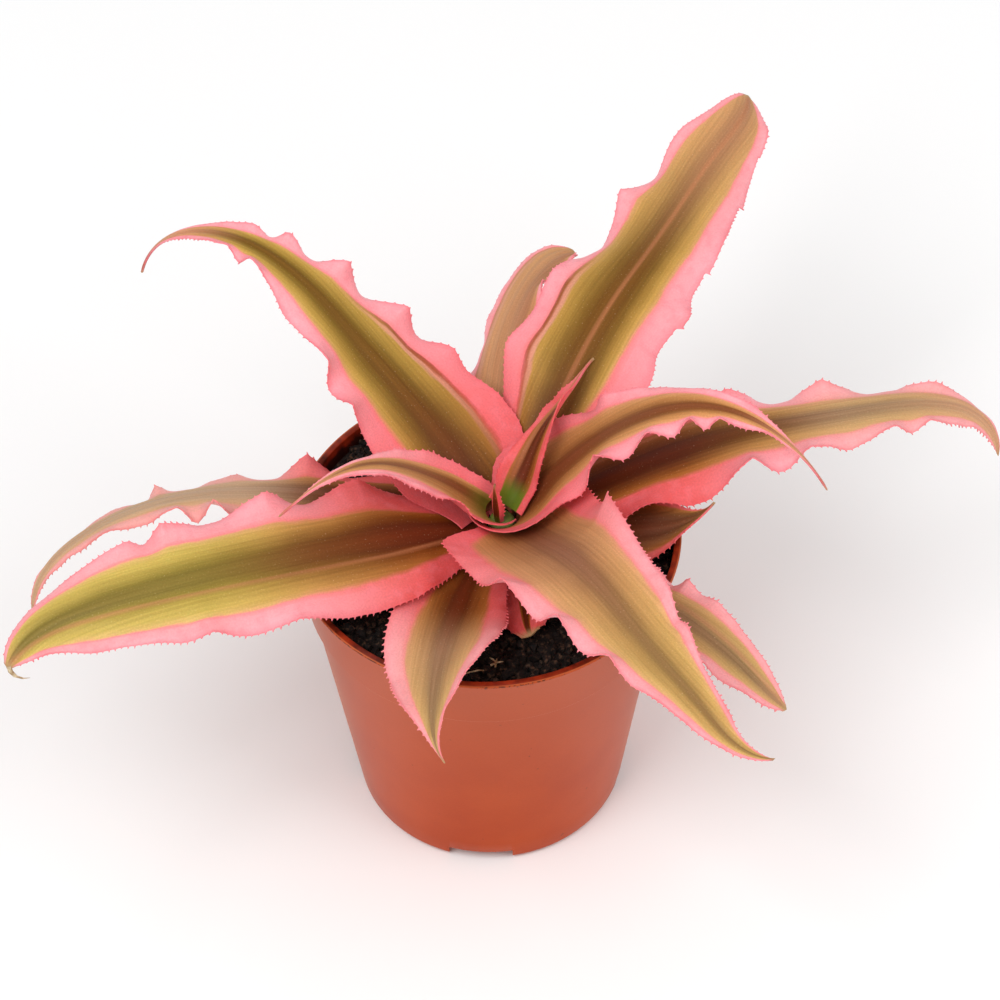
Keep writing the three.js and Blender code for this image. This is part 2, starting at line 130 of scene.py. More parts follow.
def drain_blocks(margin):
    """The four drain grooves as blocks to cut with, larger all round by margin."""
    length = groove_outer_end - groove_inner_end + 2 * margin
    middle = (groove_outer_end + groove_inner_end) / 2
    blocks = []
    for i in range(4):
        turn = groove_turn + i * math.pi / 2
        bpy.ops.mesh.primitive_cube_add(
            size=1,
            location=(middle * math.cos(turn), middle * math.sin(turn), 0),
            rotation=(0, 0, turn),
            scale=(length, groove_width + 2 * margin, 2 * (groove_height + margin)),
        )
        blocks.append(bpy.context.object)
    return joined(blocks)


def drain_holes():
    """The four drain holes as pins to cut with, one through the floor over each groove."""
    holes = []
    for i in range(4):
        turn = groove_turn + i * math.pi / 2
        place = (drain_hole_place * math.cos(turn), drain_hole_place * math.sin(turn), 0)
        bpy.ops.mesh.primitive_cylinder_add(
            vertices=32, radius=drain_hole_radius, depth=4 * groove_height, location=place
        )
        holes.append(bpy.context.object)
    return joined(holes)


def body_radius(height):
    """The radius of the tapered wall's outside."""
    return foot_radius + wall_taper * height


def pot_outside():
    """The pot's outside as radius and height, from its foot up to the top of its lip."""
    outline = []
    for i in range(foot_steps + 1):
        angle = i / foot_steps * math.pi / 2
        height = foot_rounding * (1 - math.cos(angle))
        outline.append((body_radius(height) - foot_rounding * (1 - math.sin(angle)), height))
    outline.append((body_radius(2 * groove_height), 2 * groove_height))
    outline.append((body_radius(band_bottom), band_bottom))
    outline.append((band_bottom_radius, band_bottom + band_step))
    outline.append((band_top_radius, pot_height - lip_height))
    outline.append((rim_radius, pot_height - lip_height))
    outline.append((rim_radius, pot_height))
    return outline


def pot_inside(gap, top):
    """The pot's inside, drawn in by a gap, as radius and height from its floor up to top."""
    inset = wall + gap
    band_flare = (band_top_radius - band_bottom_radius) / (pot_height - band_bottom)
    floor = wall + gap
    return [
        (body_radius(floor) - inset - foot_rounding + wall, floor),
        (body_radius(foot_rounding + wall) - inset, foot_rounding + wall),
        (body_radius(band_bottom + wall) - inset, band_bottom + wall),
        (band_bottom_radius + band_flare * 2 * wall - inset, band_bottom + 2 * wall),
        (band_bottom_radius + band_flare * (top - band_bottom) - inset, top),
    ]


cavity = turned("cavity", pot_inside(0, pot_height + wall), pot_sides)
cut(cavity, drain_blocks(wall))
pot = turned("nursery_pot", pot_outside(), pot_sides)
cut(pot, cavity)
cut(pot, drain_blocks(0))
cut(pot, drain_holes())
apply_modifier(pot, "BEVEL", width=edge_softness, segments=2, angle_limit=math.radians(35))


def smooth(piece, angle):
    """Shades a piece smooth but for the edges that are sharper than angle, in degrees."""
    bpy.ops.object.select_all(action="DESELECT")
    piece.select_set(True)
    bpy.context.view_layer.objects.active = piece
    bpy.ops.object.shade_smooth_by_angle(angle=math.radians(angle))


def paint(piece, *materials):
    """Gives a piece its materials, in the order in which its faces count them."""
    piece.data.materials.clear()
    for material in materials:
        piece.data.materials.append(material)


def linear(colour):
    """An sRGB hex colour as the linear colour that shaders take."""
    channels = [int(colour[i:i + 2], 16) / 255 for i in (1, 3, 5)]
    return [c / 12.92 if c <= 0.04045 else ((c + 0.055) / 1.055) ** 2.4 for c in channels] + [1]


def set_inputs(node, inputs):
    """Gives a node's inputs their values. A value may be a socket, or a node whose first output is meant."""
    for name, value in inputs.items():
        if isinstance(value, bpy.types.Node):
            value = value.outputs[0]
        if isinstance(value, bpy.types.NodeSocket):
            node.id_data.links.new(value, node.inputs[name])
        else:
            node.inputs[name].default_value = value


def add_node(material, kind, inputs=None, stops=(), **settings):
    """Adds a shader node with its settings and inputs. stops are a colour ramp's, in rising order."""
    node = material.node_tree.nodes.new("ShaderNode" + kind)
    for name, value in settings.items():
        setattr(node, name, value)
    set_inputs(node, inputs or {})
    if stops:
        elements = node.color_ramp.elements
        elements.remove(elements[1])
        elements[0].position, elements[0].color = stops[0][0], linear(stops[0][1])
        for position, colour in stops[1:]:
            elements.new(position).color = linear(colour)
    return node


def new_material(name):
    """A new material and its shader."""
    material = bpy.data.materials.new(name)
    material.use_nodes = True
    return material, material.node_tree.nodes["Principled BSDF"]


# Polypropylene, moulded against a lightly blasted steel tool: an even colour with faint flow
# clouds, a satin skin with a fine grain, potting dust caught under the lip, and a pale scuffed
# line where the wall steps out to the band.
plastic, shader = new_material("moulded terracotta polypropylene")
places = add_node(plastic, "TexCoord").outputs["Object"]
clouds = add_node(plastic, "TexNoise", {"Vector": places, "Scale": 1 / (24 * mm), "Detail": 4})
body = add_node(plastic, "ValToRGB", {"Fac": clouds}, [(0.35, "#B04218"), (0.65, "#B8491C")])
height = add_node(plastic, "SeparateXYZ", {"Vector": places}).outputs["Z"]
paler_up = add_node(plastic, "MapRange", {"Value": height, "From Min": 30 * mm, "From Max": pot_height})
from_step = add_node(
    plastic, "Math", {0: height, 1: band_bottom + 0.3 * mm, 2: 0.6 * mm}, operation="COMPARE"
)
scuffed = add_node(plastic, "Math", {0: from_step, 1: clouds}, operation="MULTIPLY")
under_lip = add_node(
    plastic, "MapRange",
    {"Value": height, "From Min": pot_height - 8 * mm, "From Max": pot_height - lip_height},
)
dust_patches = add_node(plastic, "TexNoise", {"Vector": places, "Scale": 1 / (16 * mm), "Detail": 1})
dust_grains = add_node(plastic, "TexNoise", {"Vector": places, "Scale": 1 / (1.1 * mm), "Detail": 2})
dust_anywhere = add_node(plastic, "Math", {0: dust_patches, 1: dust_grains}, operation="MULTIPLY")
dust_near_lip = add_node(plastic, "Math", {0: dust_anywhere, 1: under_lip}, operation="MULTIPLY")
dust = add_node(
    plastic, "MapRange", {"Value": dust_near_lip, "From Min": 0.28, "From Max": 0.33, "To Max": 0.75}
)
flecks = add_node(plastic, "TexNoise", {"Vector": places, "Scale": 1 / (2.2 * mm), "Detail": 1})
fleck_there = add_node(
    plastic, "MapRange", {"Value": flecks, "From Min": 0.79, "From Max": 0.81, "To Max": 0.6}
)
for amount, colour in (
    (paler_up, "#BA4E22"), (scuffed, "#DC9C7C"), (dust, "#2E1A14"), (fleck_there, "#7A3418"),
):
    body = add_node(plastic, "MixRGB", {"Fac": amount, "Color1": body, "Color2": linear(colour)})
grain = add_node(plastic, "TexNoise", {"Vector": places, "Scale": 1 / (0.6 * mm), "Detail": 2})
grain_light = add_node(plastic, "MapRange", {"Value": grain, "To Min": 0.93, "To Max": 1.07})
grained = add_node(
    plastic, "MixRGB", {"Fac": 1, "Color1": body, "Color2": grain_light}, blend_type="MULTIPLY"
)
grain_bump = add_node(plastic, "Bump", {"Height": grain, "Strength": 0.15, "Distance": 0.05 * mm})
set_inputs(shader, {
    "Base Color": grained, "Normal": grain_bump, "Roughness": 0.3, "IOR": 1.49,
    "Specular IOR Level": 0.08, "Sheen Weight": 0.14, "Sheen Roughness": 0.12,
    "Sheen Tint": linear("#FFDCB4"),
})

# Inside and on the top of the rim, the same plastic bears a stain of wet peat, which clings to the wall
# below the rim, and its dark red-browns are partly painted shade, darkest low on the wall. The outer
# edge of the rim is painted lighter orange, as a painted highlight.
stain_and_shade_plastic, shader = new_material("peat stain and painted shade on terracotta polypropylene")
places = add_node(stain_and_shade_plastic, "TexCoord").outputs["Object"]
# Dark red-brown patches: a stain of wet peat, and painted shade on the inside wall and the rim's top.
stain_and_shade_noise = add_node(stain_and_shade_plastic, "TexNoise", {"Vector": places, "Scale": 1 / (5 * mm), "Detail": 5})
inside = add_node(
    stain_and_shade_plastic, "ValToRGB", {"Fac": stain_and_shade_noise}, [(0.3, "#3A1208"), (0.5, "#7C2410"), (0.7, "#A03416")]
)
flat_place = add_node(stain_and_shade_plastic, "VectorMath", {0: places, 1: (1, 1, 0)}, operation="MULTIPLY")
from_axis = add_node(stain_and_shade_plastic, "VectorMath", {0: flat_place}, operation="LENGTH").outputs["Value"]
# A thin lighter orange band at the rim's outer edge: a painted highlight on the edge.
rim_edge_highlight = add_node(
    stain_and_shade_plastic, "MapRange",
    {"Value": from_axis, "From Min": rim_radius - 0.55 * mm, "From Max": rim_radius - 0.25 * mm},
)
height = add_node(stain_and_shade_plastic, "SeparateXYZ", {"Vector": places}).outputs["Z"]
ragged = add_node(stain_and_shade_plastic, "Math", {0: stain_and_shade_noise, 1: 4 * mm, 2: height}, operation="MULTIPLY_ADD")
# Near-black low on the inside wall: peat that clings there, and painted shade below the rim.
clinging_peat_and_shade = add_node(
    stain_and_shade_plastic, "MapRange",
    {"Value": ragged, "From Min": pot_height + 0.6 * mm, "From Max": pot_height - 1 * mm, "To Max": 0.9},
)
for amount, colour in ((rim_edge_highlight, "#BC6038"), (clinging_peat_and_shade, "#1E0E0A")):
    inside = add_node(stain_and_shade_plastic, "MixRGB", {"Fac": amount, "Color1": inside, "Color2": linear(colour)})
set_inputs(shader, {"Base Color": inside, "Roughness": 0.35, "IOR": 1.49, "Specular IOR Level": 0.3})

# The wall's inside above the grooves and the top of the rim get the peat stain and painted shade,
# and the rest is clean.
smooth(pot, 30)
paint(pot, plastic, stain_and_shade_plastic)
for face in pot.data.polygons:
    place = face.center
    faces_in = face.normal.x * place.x + face.normal.y * place.y < -0.3 * place.xy.length
    on_rim = face.normal.z > 0.5 and place.z > pot_height - lip_height
    face.material_index = 1 if (faces_in and place.z > groove_height) or on_rim else 0
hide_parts("pot")
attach(pot, "root")

# ---------------------------------------------------------------- peat
# Dark, moist peat that was filled in loose and settled. It is a mass of crumbs of all sizes,
# and it has sunk a little below the rim.

peat_level = 104 * mm
peat_gap = 0.3 * mm
peat_rings = 44
peat_roughness = 1.1 * mm
lump_length = 7 * mm
crumb_length = 2.2 * mm
bank_height = 3 * mm  # the peat lies higher at the back left
bank_bearing = math.radians(135)
stem_place = Vector((5 * mm, 6 * mm, 0))
stem_radius = 4.2 * mm

peat_outline = pot_inside(peat_gap, peat_level)
peat_edge = peat_outline[-1][0]
for i in range(1, peat_rings):
    peat_outline.append((peat_edge * (1 - i / peat_rings), peat_level))
peat = turned("peat_bed", peat_outline, pot_sides)
cut(peat, drain_blocks(wall + peat_gap))


def peat_height(x, y):
    """The height of the peat's crumbly top."""
    lumps = noise.noise(Vector((x, y, 0)) / lump_length)
    crumbs = noise.noise(Vector((x, y, 5 * mm)) / crumb_length)
    outwards = math.hypot(x, y) / peat_edge
    off_wall = min(1, 8 * (1 - outwards))
    bank = bank_height * max(0, math.cos(math.atan2(y, x) - bank_bearing)) * outwards**3
    return peat_level + bank + peat_roughness * (0.4 * lumps + 0.6 * crumbs) * off_wall


for vertex in peat.data.vertices:
    if vertex.co.z > peat_level - 0.01 * mm:
        vertex.co.z = peat_height(vertex.co.x, vertex.co.y)

# Peat is almost black when moist, and each crumb catches a little light on its upper side.
peat_matter, shader = new_material("moist peat")
places = add_node(peat_matter, "TexCoord").outputs["Object"]
fibres = add_node(peat_matter, "TexNoise", {"Vector": places, "Scale": 1 / (1.6 * mm), "Detail": 6})
peat_colour = add_node(
    peat_matter, "ValToRGB", {"Fac": fibres}, [(0.35, "#0B0605"), (0.55, "#1C120E"), (0.7, "#5A4434")]
)
peat_bump = add_node(peat_matter, "Bump", {"Height": fibres, "Strength": 0.8, "Distance": 0.6 * mm})
set_inputs(shader, {
    "Base Color": peat_colour, "Normal": peat_bump, "Roughness": 0.8, "Specular IOR Level": 0.3,
})

paint(peat, peat_matter)
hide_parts("peat")
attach(peat, "root")

# ---------------------------------------------------------------- peat crumbs
# Loose crumbs of the same peat lie all over the bed, most of them small. Each is the same ball of
# twenty faces, pulled out of shape, turned and sunk a little into the bed.

crumb_count = 2800
crumb_sizes = (0.4 * mm, 2.4 * mm)
crumb_evenness = 0.7  # 1 for as many large crumbs as small ones
crumb_lift = 0.25  # of a crumb's size
crumb_area = (0.02, 0.985)  # from and to, as shares of the bed's area
crumb_random = np.random.default_rng(7)

bpy.ops.mesh.primitive_ico_sphere_add(subdivisions=1, radius=1)
crumbs = bpy.context.object
crumbs.name = crumbs.data.name = "peat_crumbs"
ball = np.array([vertex.co[:] for vertex in crumbs.data.vertices])
ball_faces = np.array([face.vertices[:] for face in crumbs.data.polygons])
crumb_points, crumb_faces = [], []
for i in range(crumb_count):
    reach = peat_edge * math.sqrt(crumb_random.uniform(*crumb_area))
    bearing = crumb_random.uniform(0, 2 * math.pi)
    x, y = reach * math.cos(bearing), reach * math.sin(bearing)
    size = crumb_sizes[0] + (crumb_sizes[1] - crumb_sizes[0]) * crumb_random.power(crumb_evenness)
    dents = crumb_random.uniform(0.55, 1.25, (len(ball), 1))
    stretch = crumb_random.uniform(0.6, 1.3, 3)
    shape = ball * dents * stretch * size
    turn = np.array(Euler(crumb_random.uniform(0, 2 * math.pi, 3)).to_matrix())
    if math.hypot(x - stem_place.x, y - stem_place.y) < stem_radius + crumb_sizes[1]:
        continue
    crumb_faces.extend((ball_faces + len(crumb_points) * len(ball)).tolist())
    crumb_points.append(shape @ turn.T + (x, y, peat_height(x, y) + crumb_lift * size))
crumbs.data.clear_geometry()
crumbs.data.from_pydata(np.concatenate(crumb_points).tolist(), [], crumb_faces)
paint(crumbs, peat_matter)
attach(crumbs, "root")

# ---------------------------------------------------------------- stem
# The short, fleshy stem that all leaves grow from. It is rooted in the peat, and ends in the
# growing point, deep in the cup that the youngest leaves form.

stem_low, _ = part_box("stem")
stem_top = 112.3 * mm
stem_dome = 2.2 * mm
stem = turned("short_stem", [
    (stem_radius, stem_low.z),
    (stem_radius, stem_top - stem_dome),
    (stem_radius * 0.9, stem_top - stem_dome * 0.5),
    (stem_radius * 0.6, stem_top - stem_dome * 0.15),
    (stem_radius * 0.2, stem_top),
], 32)
bpy.ops.transform.translate(value=stem_place)
bpy.ops.object.transform_apply()

# Young living tissue: green, with darker rings where leaves are set.
stem_skin, shader = new_material("green stem skin")
places = add_node(stem_skin, "TexCoord").outputs["Object"]
rings = add_node(
    stem_skin, "TexWave", {"Vector": places, "Scale": 1 / (8 * mm), "Distortion": 2},
    wave_type="BANDS", bands_direction="Z",
)
stem_colour = add_node(stem_skin, "ValToRGB", {"Fac": rings}, [(0, "#3E3A12"), (1, "#6E7A2C")])
set_inputs(shader, {"Base Color": stem_colour, "Roughness": 0.6})

smooth(stem, 40)
paint(stem, stem_skin)
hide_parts("stem")
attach(stem, "root")

# ---------------------------------------------------------------- leaves
# Fifteen firm, waxy blades that grow from the stem in a spiral. The lower ones spread out from it,
# and the bases of the young ones wrap round it as a cup. The margins are waved, and bear small
# spines that lean to the tip.

# Sizes in this section are millimetres, and angles are degrees. For each level of the spiral: how far
# from the stem's axis a leaf starts, how high, how steeply, how far it runs down inside the cup, and
# whether its base wraps round the stem.
levels = [
    dict(radius=5.2, height=height, pitch=pitch, root=0, wraps=wraps)
    for height, pitch, wraps in (
        (105.7, 14, False), (107, 20, False), (108.5, 26, False), (109.9, 30, False), (111.4, 36, False),
        (113.5, 46, True), (115.2, 48, True),
    )
] + [
    dict(radius=4.4, height=118.5, pitch=40, root=3.3, wraps=False),
    dict(radius=2.7, height=114, pitch=82, root=1.2, wraps=False),
]
wrap_length = 24  # how far out a blade still curves round the stem
flare = 0.8  # how much a wrapped base rises as it opens
clasp_length = 30  # how far out the sides of a lower blade still rise
clasp_fade = 1.5  # how soon they sink on the way
calm_share = 0.3  # of the length, over which the waves grow
hook_share = 0.82  # of the length, where the tip begins to turn aside
wave_rise = 4  # how late across the blade a wave rises
wave_sharpness = 0.5  # 0 for round crests, 1 for creases
lean_reach = 15  # the wave height that would widen a side by the whole of lean
leaf_rows = 36  # of faces, across a blade
row_crowding = 0.2  # how much closer the rows lie by the margins
tooth_spacing = 2
tooth_out = (0, 0.1, 0.9, 0.15)  # outwards and ahead, for the four points of each tooth
tooth_ahead = (0, 0.35, 0.4, -0.15)
tooth_sizes = (0.45, 1.2)
ripple_height = 0.45
ripple_length = 6
ridge_height = 0.12
ridge_count = 4.6  # on the whole width
plain_width = 3  # half the width of a tip below which teeth, ripples and ridges shrink
plain_share = 0.12  # of the length, along which they grow from the base
notch_depth = 1.5
rib_thickness = 0.9
margin_share = 0.45  # of the rib's thickness
dried_length = 3
# The coral over the pink near a leaf's base is partly its own colour and partly painted shade.
usual_coral_and_shade = (0.85, 0.04, 0.5)  # the coral of a leaf that names no other, as below
core_narrowing = 0.25  # of the dark middle, from the base to the tip
no_line = 9  # far off the blade
pattern_side = 200  # of the square in which the skin's fine pattern is laid out

# heading, swing, hook, pitch and roll are the midrib's turns. base, widest and taper shape the
# outline, channel is how far the margins stand up, and lean is how far the waves lean outwards.
# left and right are the crests of each margin's waves, as shares of the length with their heights.
# sheath is how much wider the right and left sides of a wrapped base are, and spread how far it
# opens. teeth is the size of the teeth, and notches are the steps in the right margin.
# right_pink and left_pink are where the pink margin begins across the blade, near the base and near
# the tip, and core is the dark middle band. line is the place of a thin pale line. streak is the
# side (-1 right, 1 left) with a brown streak by the pink, and where it ends. maroon, fresh, coral,
# green, blush and scurf are those tints as (strength, from, to) along it, and copper is how much
# the gold turns to copper. The maroon of the base is partly the leaf's own dark red and partly
# painted shade where leaves above shade the bases, and so is the coral of the pink near the base.
leaves = {
    "leaf_left_low": dict(
        level=0, heading=166, swing=48, hook=53, length=158, width=31,
        pitch=(11, 12, -12, -53), roll=(-3, 11, 33, 23), channel=-0.13,
        base=0.42, widest=0.12, taper=1, lean=0.4,
        left={0.3: 2.4, 0.42: 3, 0.56: 4.8, 0.63: 2.4, 0.78: 0.9},
        right={0.15: 2.7, 0.35: 4.8, 0.5: 0.5, 0.64: 3, 0.72: 0.3, 1: 4.4},
        right_pink=(0.6, 0.55), left_pink=(0.6, 0.6), core=(-0.35, 0.3), copper=0.6, teeth=0.9,
        maroon_and_shade=(0.9, 0.25, 0.5), blush=(0.5, 0.6, 0.95), scurf=(0.85, 0.3, 0.5),
    ),
    "leaf_front_right_low": dict(
        level=0, heading=312.3, swing=7.2, hook=18, length=117, width=27,
        pitch=(20, 18, -12, -41), roll=(-12, -20, -8, -4), channel=0.07,
        base=0.21, widest=0.42, taper=0.7, lean=-0.2,
        left={0.2: 0, 0.34: 0.2, 0.43: 2.6, 0.56: 2.5, 0.67: 0.9, 0.9: 0.6},
        right={0.3: 2.4, 0.45: 2.4, 0.61: 2.9, 0.77: 1.8, 0.91: 0.2},
        right_pink=(0.55, 0.58), left_pink=(0.62, 0.66), core=(-0.2, 0.2), line=0.3, copper=0.5,
        maroon_and_shade=(0.9, 0.1, 0.5), green=(0.3, 0.5, 0.9), blush=(0.4, 0.85, 1), scurf=(0.3, 0.3, 0.6),
    ),
    "leaf_back_right_low": dict(
        level=0, heading=52, swing=-61, hook=18, length=102, width=18,
        pitch=(11, -2, -18, -25), roll=(-6, -4, 25, 31), channel=0.06,
        base=0.3, widest=0.24, taper=0.7, lean=0.3,
        left={-0.08: 1, 0.52: 2.5, 1.13: 2.5}, right={0.06: 2.4, 0.54: 3.4, 0.98: 4.3},
        right_pink=(0.6, 0.7), left_pink=(0.6, 0.7), core=(-0.3, 0.3), copper=0.5,
        maroon_and_shade=(0.9, 0.2, 0.6), green=(0.3, 0.5, 0.9), blush=(0.4, 0.85, 1), scurf=(0.3, 0.4, 0.7),
    ),
    "leaf_back_short": dict(
        level=1, heading=102, swing=-52, hook=-28, length=108, width=24,
        pitch=(18, 16, 0, -32), roll=(-2, -34, -38, -1), channel=-0.13,
        base=0.2, widest=0.43, taper=0.5, lean=-0.2,
        left={0.09: 2.4, 0.41: 4.8, 0.68: 0.4}, right={0.22: 2.2, 0.5: 2.4, 0.73: 3.6},
        right_pink=(0.8, 0.8), left_pink=(0.6, 0.72), core=(-0.75, -0.4), streak=(1, 1.2), copper=0.5,
        maroon_and_shade=(0.5, 0.1, 0.4), green=(0.25, 0.6, 1), blush=(0.5, 0, 0.5), scurf=(0.15, 0.2, 0.4),
    ),
    "leaf_front_short": dict(
        level=1, heading=245.2, swing=26.4, hook=33, length=103, width=37,
        pitch=(9, 16, 6, -18), roll=(1, 3, 26, 33), channel=0.22,
        base=0.44, widest=0.53, taper=1.8, lean=0.2,
        left={-0.1: 2.6, 0.99: 2.8}, right={0.34: 0.2, 0.8: 3.6},
        right_pink=(0.62, 0.64), left_pink=(0.62, 0.66), core=(-0.2, 0.2), copper=0.6,
        maroon_and_shade=(0.9, 0.3, 0.6), green=(0.35, 0.5, 0.9), blush=(0.4, 0.9, 1), scurf=(0.35, 0.35, 0.6),
    ),
    "leaf_right_lowest": dict(
        level=1, heading=346.5, swing=7, hook=13, length=67, width=22,
        pitch=(12, 9, 28, 60), roll=(4, 4, 14, 8), channel=0.03,
        base=0.2, widest=0.53, taper=1.9, lean=-0.1,
        left={0.24: 2.4, 0.76: 3.1}, right={0.32: 0.8, 0.86: 2.3},
        right_pink=(0.8, 0.86), left_pink=(0.9, 0.86), core=(-0.5, 0.5), copper=0.2,
        maroon_and_shade=(0.9, 0.6, 1.4), green=(0.3, 0.5, 0.9), scurf=(0.1, 0.4, 0.7),
    ),
    "leaf_right_long": dict(
        level=2, heading=12, swing=-1, hook=-85, length=169, width=39,
        pitch=(19, 0, -8, -74), roll=(-15, -8, -13, 13), channel=-0.06,
        base=0.49, widest=0.18, taper=1, lean=-0.1,
        left={0.22: 0.8, 0.44: 4.8, 0.61: 4.8, 0.82: 3.4},
        right={0.23: 4.8, 0.44: 4.8, 0.55: 2.5, 0.71: 2.1, 0.78: 2.1, 0.94: 0.3},
        right_pink=(0.58, 0.66), left_pink=(0.58, 0.5), core=(-0.25, 0.2), line=0.45, copper=0.5,
        maroon_and_shade=(0.88, 0.3, 0.5), green=(0.3, 0.5, 0.8), blush=(0.8, 0.65, 0.95), scurf=(0.45, 0.45, 0.65),
    ),
    "leaf_back_right_long": dict(
        level=3, heading=61.2, swing=-3.6, hook=34, length=173.5, width=43.6,
        pitch=(25, -1, 8, -21), roll=(-10, 12, -10, 43), channel=-0.14,
        base=0.34, widest=0.3, taper=0.6, lean=0.4,
        left={0.03: 2.2, 0.27: 2.7, 0.44: 1.6, 0.67: 4.8, 0.83: 1.3},
        right={0.32: 1, 0.46: 4.8, 0.64: 3.4, 0.93: 3.3},
        right_pink=(0.46, 0.66), left_pink=(0.7, 0.76), core=(-0.3, 0.28), line=0, copper=0.1,
        streak=(1, 0.5), teeth=0.6, notches=(0.3, 0.44, 0.58, 0.74, 0.87),
        maroon_and_shade=(0.7, 0.12, 0.3), green=(0.2, 0.5, 0.8), blush=(0.55, 0.5, 0.95), scurf=(0.1, 0.5, 0.9),
    ),
    "leaf_left_broad": dict(
        level=3, heading=208, swing=-17, hook=47, length=164, width=45,
        pitch=(15, 7, -6, -33), roll=(-5, -9, -15, -20), channel=-0.1,
        base=0.43, widest=0.26, taper=0.7, lean=0.1,
        left={0.19: 2, 0.45: 4.8, 0.61: 4.4, 0.72: 0.2, 0.92: 4.3},
        right={0.23: 4.8, 0.43: 4.8, 0.64: 4.8, 0.71: 2.6, 1.1: 4.4},
        right_pink=(0.5, 0.68), left_pink=(0.58, 0.76), core=(-0.25, 0.25), line=0.28, copper=0.3,
        maroon_and_shade=(1, 0.15, 0.5), green=(0.9, 0.35, 0.65), blush=(0.3, 0.94, 1), scurf=(0.1, 0.3, 0.7),
        teeth=0.95, coral_and_shade=(0.85, 0, 0.32),
    ),
    "leaf_back_left_long": dict(
        level=4, heading=128.6, swing=28.7, hook=20, length=167, width=47,
        pitch=(27, 34, -19, -80), roll=(-3, 6, 7, -16), channel=0.09,
        base=0.6, widest=0.12, taper=2.1, lean=0.1,
        left={0.07: 2.6, 0.31: 4.5, 0.41: 4.7, 0.64: 3.9, 0.69: 3.5, 1: 3.1},
        right={0.27: 3.5, 0.38: 4.6, 0.51: 4.7, 0.62: 3.9, 0.68: 2.8, 1.04: 2.4},
        right_pink=(0.66, 0.52), left_pink=(0.58, 0.66), core=(-0.2, 0.22), copper=0,
        streak=(-1, 0.45), teeth=0.65,
        maroon_and_shade=(0.75, 0.05, 0.35), green=(0.15, 0.2, 0.5), blush=(0.95, 0.66, 0.85), scurf=(0.2, 0.8, 0.95),
    ),
    "leaf_front_right_broad": dict(
        level=4, heading=290.6, swing=18.7, hook=85, length=153.7, width=48,
        pitch=(35, 5, -1, -34), roll=(1, 7, -4, 16), channel=0.24,
        base=0.36, widest=0.1, taper=1.2, lean=0,
        left={0.06: 2.5, 0.28: 4.8, 0.56: 2.6, 0.65: 2.3, 0.86: 2.4},
        right={0.11: 4.8, 0.37: 4.8, 0.51: 4.8, 0.64: 3.8, 0.78: 0.9},
        right_pink=(0.68, 0.62), left_pink=(0.7, 0.84), core=(-0.05, 0.35), copper=1,
        streak=(-1, 0.5), teeth=0.9,
        maroon_and_shade=(0.4, 0.1, 0.5), green=(0.55, 0.3, 0.7), blush=(0.08, 0, 0.2), scurf=(0.15, 0, 0.3),
    ),
    "leaf_right_arched": dict(
        level=5, heading=21.5, swing=-53.7, hook=-2, length=122.6, width=37.5,
        pitch=(43, 21, -28, -59), roll=(-13, -12, 8, -6), channel=0.06,
        base=0.52, widest=0.1, taper=2.3, lean=-0.2,
        left={0.19: 4.8, 0.33: 2.2, 0.71: 3.8},
        right={0.1: 4.8, 0.32: 3.7, 0.46: 2, 0.57: 3.5, 0.64: 4.1, 0.79: 2.6},
        sheath=(9, 0), spread=1.5,
        right_pink=(0.6, 0.62), left_pink=(0.74, 0.42), core=(-0.28, 0.2), copper=0.9,
        maroon_and_shade=(0.5, 0, 0.4), blush=(0.6, 0.65, 0.9), scurf=(0.25, 0.75, 0.95),
    ),
    "leaf_left_inner": dict(
        level=6, heading=180, swing=42, hook=-13, length=82, width=22,
        pitch=(46, 33, 0, -28), roll=(0, 11, 7, 11), channel=0.17,
        base=0.88, widest=0.22, taper=2.4, lean=-0.3,
        left={0.19: 3.4, 0.6: 0.1}, right={0.3: 1.8, 0.92: 2.4},
        sheath=(0, 3), spread=0.2,
        right_pink=(0.62, 0.62), left_pink=(0.66, 0.3), core=(-0.42, -0.1), copper=0.9,
        maroon_and_shade=(0.3, 0, 0.4), fresh=(0.5, 0, 0.14), coral_and_shade=(0.8, 0.1, 0.6),
        blush=(0.6, 0.6, 0.9), scurf=(0.1, 0.1, 0.4),
    ),
    "leaf_heart_young": dict(
        level=7, heading=48, swing=19, hook=-25, length=55, width=13,
        pitch=(48, 8, -5, 10), roll=(28, -18, -50, -30), channel=0.36,
        base=0.87, widest=0.1, taper=1.6, lean=0.2,
        left={-0.15: 2, 0.72: 1.7}, right={-0.1: 0.5, 0.56: 0.7},
        right_pink=(0.7, 0.4), left_pink=(0.65, 0.3), core=(-0.35, 0.2), line=0.35, copper=0.8, teeth=0.7,
        maroon_and_shade=(0.9, 0.6, 1.1), fresh=(0.9, 0, 0.13), blush=(0.8, 0.45, 0.8), coral_and_shade=(0.4, 0.3, 1),
    ),
    "leaf_heart_smallest": dict(
        level=8, heading=238, swing=0, hook=0, length=18, width=4,
        pitch=(86, 88, 88, 86), roll=(0, 0, 0, 0), channel=0.5,
        base=0.8, widest=0.3, taper=1.4, lean=0,
        left={0.3: 0.2, 0.7: 0.2}, right={0.4: 0.2, 0.8: 0.2},
        right_pink=(0.5, 0.4), left_pink=(0.5, 0.4), core=(-0.3, 0.3), copper=1,
        maroon_and_shade=(1, 0.5, 0.9), fresh=(0.6, 0, 0.2), coral_and_shade=(1, 0.9, 1.2),
    ),
}


def rising(value, start, end):
    """0 before start, 1 after end, and a smooth rise between them."""
    t = np.clip((value - start) / (end - start), 0, 1)
    return t * t * (3 - 2 * t)


